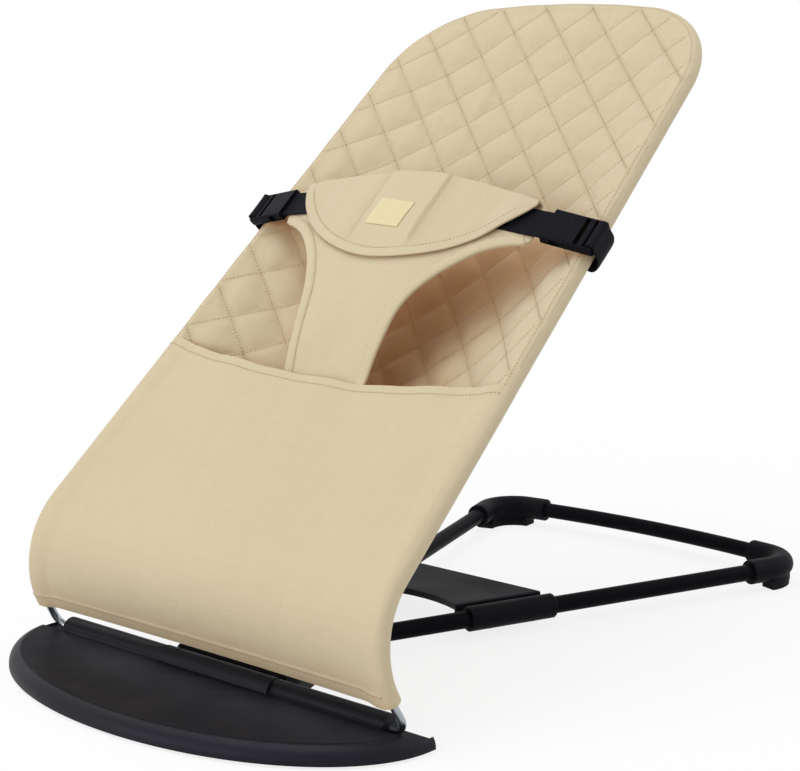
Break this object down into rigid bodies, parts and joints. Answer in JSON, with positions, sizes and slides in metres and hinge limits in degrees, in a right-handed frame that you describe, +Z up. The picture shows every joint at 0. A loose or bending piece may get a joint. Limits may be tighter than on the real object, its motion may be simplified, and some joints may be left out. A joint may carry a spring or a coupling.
{
  "type": "baby bouncer seat",
  "caption": "Baby bouncer: quilted cloth sling with a buckled bib on a sprung bent-wire frame, reclining on a D-shaped foot plate with a V-shaped tube base behind.",
  "frame": {"origin": "centre of the footprint, on the floor", "axes": "+Z up, +Y from the foot plate to the rear frame, +X across the seat"},
  "size_m": [0.4, 0.6741, 0.4975],
  "materials": {
    "plate_plastic": "satin moulded plastic, fine grain",
    "moulded_black": "satin moulded plastic",
    "tube_black": "semi-gloss powder coat",
    "grip_rubber": "matte",
    "hardware_steel": "zinc plated",
    "rod_steel": "galvanised spring steel",
    "cover_fabric": "plain woven cotton, beige",
    "quilt_fabric": "quilted cotton, stitched diamonds",
    "tag_fabric": "woven tape",
    "webbing_black": "woven polyester webbing",
    "buckle_plastic": "moulded acetal"
  },
  "bodies": {
    "base": {"foot_plate": "plate_plastic", "foot_plate_grips": "grip_rubber", "hub_housing": "plate_plastic", "hub_cover": "plate_plastic", "hub_screws": "hardware_steel", "detent_roller": "hardware_steel", "detent_leaf": "hardware_steel", "cross_plate": "moulded_black", "cross_plate_screws": "hardware_steel", "tube_snap_buttons": "hardware_steel", "rear_crossbar": "tube_black", "rod_bearing_left": "moulded_black", "rod_bearing_right": "moulded_black", "leg_front_left": "tube_black", "leg_front_right": "tube_black", "leg_rear_left": "tube_black", "leg_rear_right": "tube_black", "brace_sleeve_left": "moulded_black", "brace_sleeve_right": "moulded_black", "corner_elbow_left": "moulded_black", "corner_elbow_right": "moulded_black", "corner_foot_left": "grip_rubber", "corner_foot_right": "grip_rubber"},
    "drum": {"recline_drum": "plate_plastic", "drum_clamp": "plate_plastic", "drum_screws": "hardware_steel"},
    "seat": {"spring_rod": "rod_steel", "top_hoop": "rod_steel", "side_rail_left": "rod_steel", "side_rail_right": "rod_steel", "hoop_plug_left": "rod_steel", "hoop_plug_right": "rod_steel", "edge_casing": "cover_fabric", "seat_back": "quilt_fabric", "apron": "cover_fabric", "bib": "cover_fabric", "bib_flap": "cover_fabric", "blank_tag": "tag_fabric", "bib_webbing_left": "webbing_black", "bib_webbing_right": "webbing_black", "buckle_socket_left": "buckle_plastic", "buckle_socket_right": "buckle_plastic"},
    "clip_left": {"buckle_clip_left": "buckle_plastic", "buckle_strap_left": "webbing_black"},
    "clip_right": {"buckle_clip_right": "buckle_plastic", "buckle_strap_right": "webbing_black"}
  },
  "joints": [
    {"name": "recline", "type": "hinge", "parent": "base", "child": "drum", "pos_m": [0, -0.22105, 0.0125], "axis": [1, 0, 0], "range_deg": [-34, 0]},
    {"name": "bounce", "type": "hinge", "parent": "drum", "child": "seat", "pos_m": [0, -0.22105, 0.0125], "axis": [1, 0, 0], "range_deg": [-6, 4], "stiffness_Nm_per_rad": 145, "springref_deg": 1.03},
    {"name": "unclip_left", "type": "slide", "parent": "seat", "child": "clip_left", "axis": [-0.9703, 0.1603, -0.1812], "range_m": [0, 0.018]},
    {"name": "unclip_right", "type": "slide", "parent": "seat", "child": "clip_right", "axis": [0.9703, 0.1603, -0.1812], "range_m": [0, 0.018]}
  ]
}
